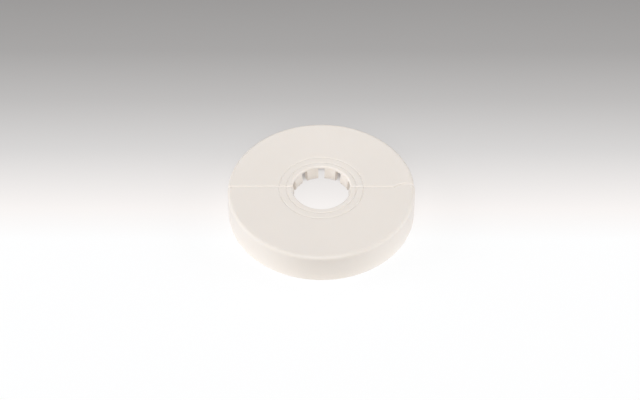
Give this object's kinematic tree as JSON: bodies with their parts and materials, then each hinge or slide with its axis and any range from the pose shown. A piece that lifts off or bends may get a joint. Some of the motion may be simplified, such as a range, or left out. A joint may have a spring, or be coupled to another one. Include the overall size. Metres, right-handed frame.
{
  "type": "radiator pipe collar",
  "caption": "Low round collar that hides the hole round a radiator pipe: hinged half shells with a flat top, a short skirt and spring tongues, which close round the pipe and snap shut.",
  "frame": {"origin": "centre of the collar on the plane of the skirt's lower edge, where it meets the floor or wall", "axes": "+Z along the pipe, away from the floor or wall; +X towards the hinge; the halves meet on the XZ plane"},
  "size_m": [0.05, 0.05, 0.0084],
  "materials": {
    "moulded_polypropylene": "warm off-white injection moulding with a satin surface"
  },
  "bodies": {
    "rear_half": {"rear_half": "moulded_polypropylene"},
    "front_half": {"front_half": "moulded_polypropylene"}
  },
  "joints": [
    {"name": "hinge", "type": "hinge", "parent": "rear_half", "child": "front_half", "pos_m": [0.0222, -0.003, 0.0046], "axis": [0, 0, 1], "range_deg": [0, 90]}
  ]
}
